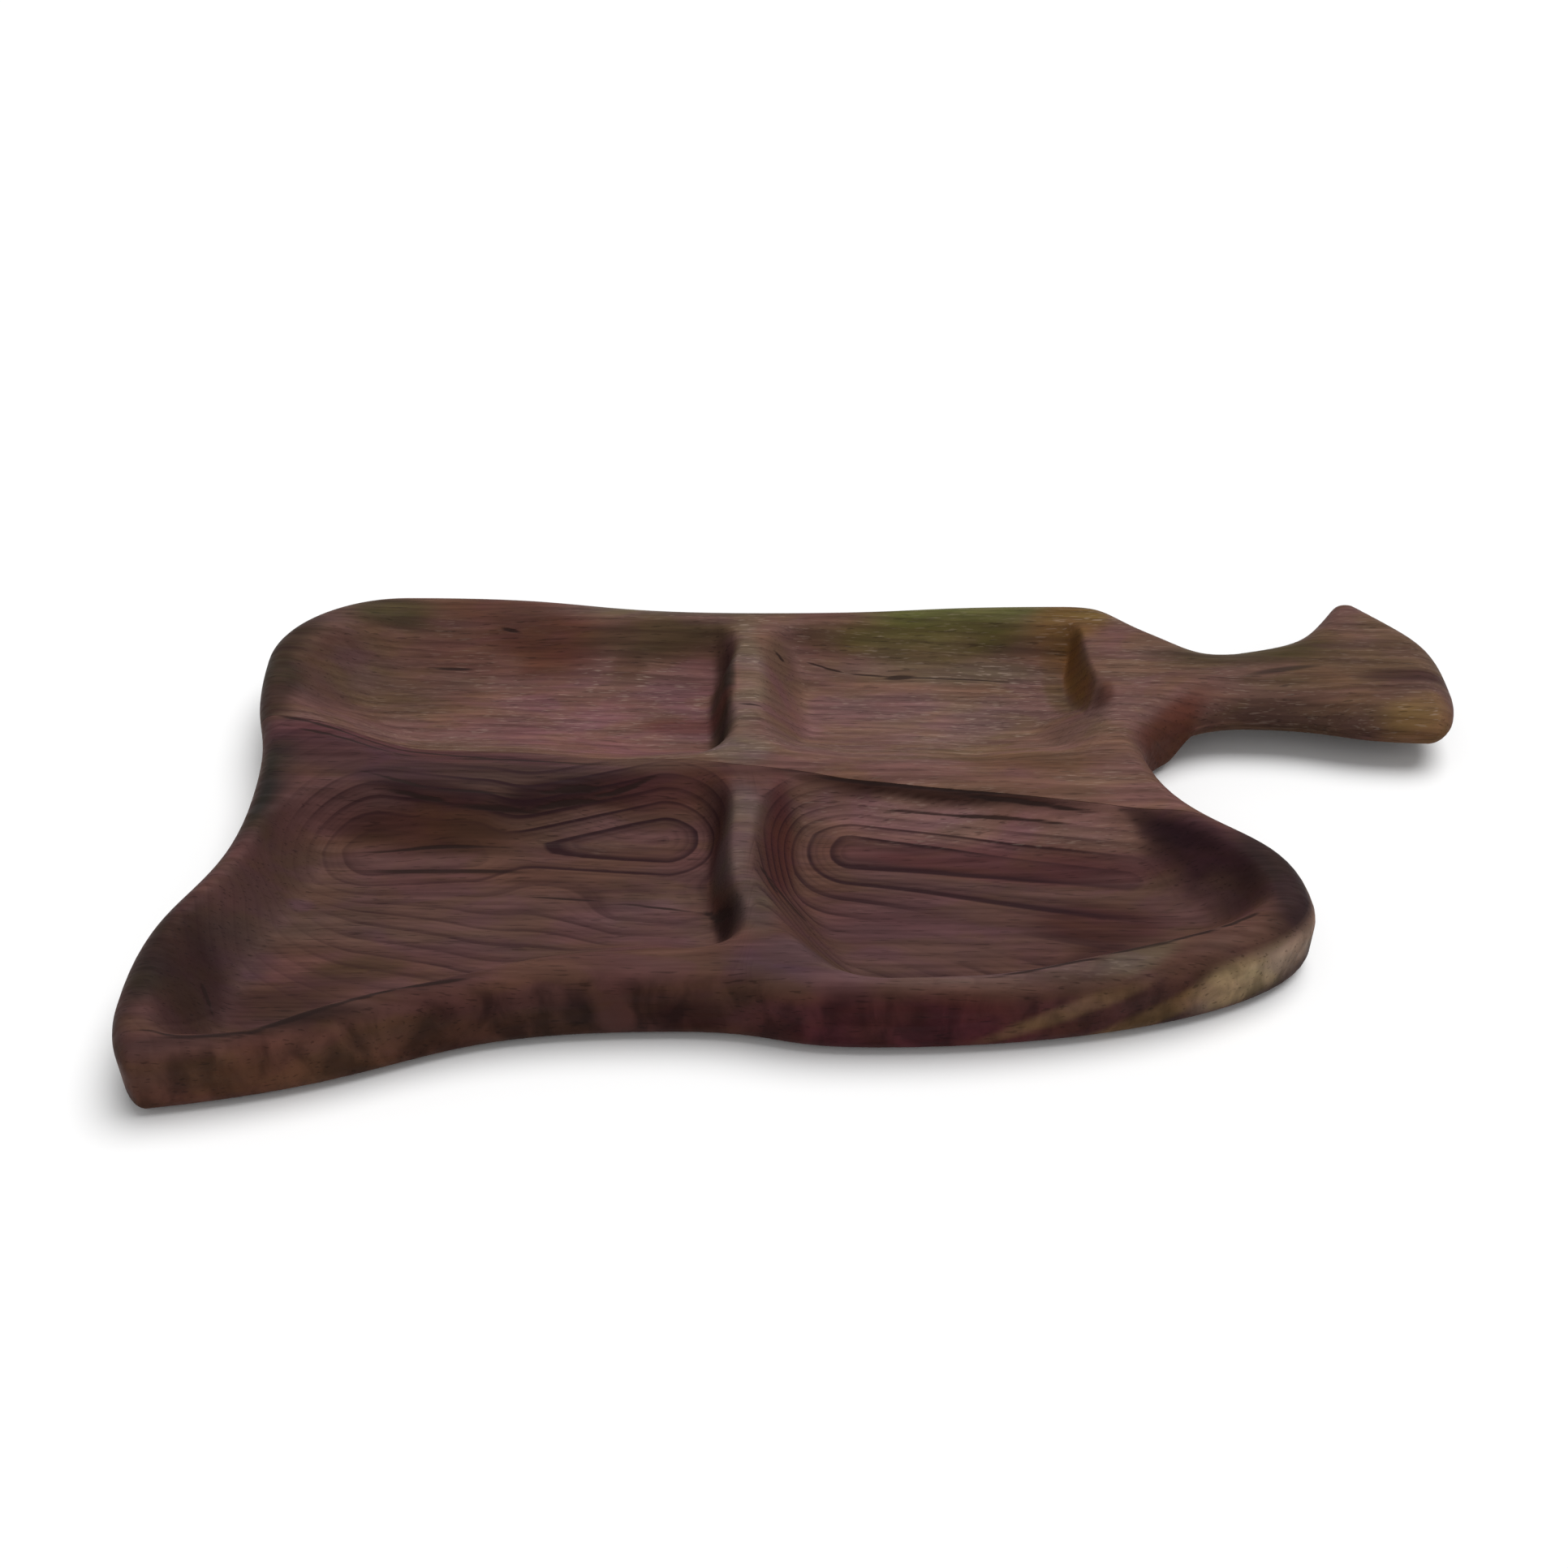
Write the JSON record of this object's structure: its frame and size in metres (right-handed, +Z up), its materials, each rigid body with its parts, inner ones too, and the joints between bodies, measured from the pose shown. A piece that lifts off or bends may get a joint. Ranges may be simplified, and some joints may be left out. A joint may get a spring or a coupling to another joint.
{
  "type": "appetizer dish",
  "caption": "Hand-carved walnut appetizer dish: a free-form slab with coved hollows parted by a ridge and cross dividers, and a flared carrying handle at one rear corner.",
  "frame": {"origin": "centre of the overall bounding box in plan, on the table plane", "axes": "+X along the dish towards the handle, +Y across towards the straight rear edge, +Z up out of the hollows"},
  "size_m": [0.4704, 0.251, 0.03],
  "materials": {
    "rear_walnut": "oiled satin, straight grain",
    "front_walnut": "oiled satin, cathedral grain"
  },
  "bodies": {
    "root": {"rear_board": "rear_walnut", "front_board": "front_walnut"}
  },
  "joints": []
}
